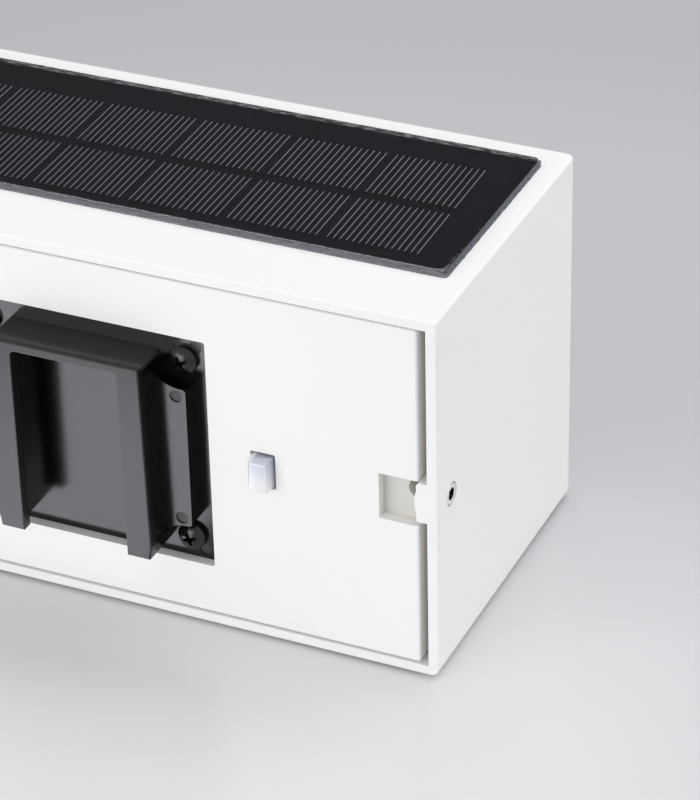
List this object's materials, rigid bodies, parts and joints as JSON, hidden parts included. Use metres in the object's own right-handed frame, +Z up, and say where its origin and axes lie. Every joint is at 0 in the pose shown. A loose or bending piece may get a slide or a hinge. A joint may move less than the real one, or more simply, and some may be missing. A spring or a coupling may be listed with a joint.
{
  "type": "solar fence light",
  "caption": "White box-shaped solar fence light: panel in its top, opal window below, slide-out back module with a black hanger, a push button and pull notches.",
  "frame": {"origin": "under the middle of the whole box, from the hanger's front face to the housing's front, on the surface that the light stands on", "axes": "+X along the light, +Y from the fence outwards (the hanger faces -Y), +Z up, towards the solar panel"},
  "size_m": [0.15, 0.0794, 0.0813],
  "materials": {
    "powder_coat": "fine powder coat, satin",
    "cover_moulding": "fine sparked texture",
    "hanger_moulding": "polished",
    "black_screw": "black zinc plate",
    "milky_moulding": "milky, slightly see-through",
    "switch_black": "moulded",
    "screw_steel": "zinc plate",
    "panel_cover": "clear, glossy",
    "solar_cell": "dark blue-black with fine silver fingers",
    "panel_backing": "black laminate",
    "clear_sealant": "clear bead, uneven",
    "opal_moulding": "opal, satin",
    "foam": "closed-cell foam",
    "circuit_board": "green solder mask",
    "ferrite": "sintered",
    "capacitor_can": "bare can",
    "connector_white": "nylon",
    "lead_red": "PVC sleeve",
    "lead_black": "PVC sleeve",
    "chassis_moulding": "moulded",
    "holder_moulding": "moulded",
    "cell_sleeve": "shrink sleeve",
    "contact_plate": "nickel plate",
    "light_board": "white solder mask on aluminium",
    "led_lens": "phosphor resin",
    "reflector_finish": "white, glossy"
  },
  "bodies": {
    "housing": {"housing": "powder_coat", "panel_board": "panel_backing", "solar_cells": "solar_cell", "panel_glass": "panel_cover", "panel_seal": "clear_sealant", "diffuser": "opal_moulding", "diffuser_gasket": "foam", "solar_plug": "connector_white", "solar_lead_positive": "lead_red", "solar_lead_negative": "lead_black"},
    "module": {"back_cover": "cover_moulding", "hanger": "hanger_moulding", "hanger_screws": "black_screw", "cover_gasket": "foam", "control_board": "circuit_board", "control_board_screws": "screw_steel", "switch_body": "switch_black", "controller_chip": "switch_black", "inductor": "ferrite", "capacitor": "capacitor_can", "solar_socket": "connector_white", "battery_lead_positive": "lead_red", "battery_lead_negative": "lead_black", "led_lead_positive": "lead_red", "led_lead_negative": "lead_black", "chassis": "chassis_moulding", "chassis_screws": "screw_steel", "battery_holder": "holder_moulding", "battery_cells": "cell_sleeve", "battery_contacts": "contact_plate", "led_board": "light_board", "leds": "led_lens", "reflector": "reflector_finish", "light_screws": "screw_steel"},
    "button": {"push_button": "milky_moulding", "switch_plunger": "switch_black"},
    "set_screw_right": {"set_screw_right": "screw_steel"},
    "set_screw_left": {"set_screw_left": "screw_steel"}
  },
  "joints": [
    {"name": "module_slide", "type": "slide", "parent": "housing", "child": "module", "axis": [0, -1, 0], "range_m": [0, 0.07]},
    {"name": "button_press", "type": "slide", "parent": "module", "child": "button", "axis": [0, 1, 0], "range_m": [0, 0.0015], "stiffness_N_per_m": 1000, "springref_m": -0.0005},
    {"name": "set_screw_right_out", "type": "slide", "parent": "housing", "child": "set_screw_right", "axis": [1, 0, 0], "range_m": [0, 0.0032]},
    {"name": "set_screw_left_out", "type": "slide", "parent": "housing", "child": "set_screw_left", "axis": [-1, 0, 0], "range_m": [0, 0.0032]}
  ]
}
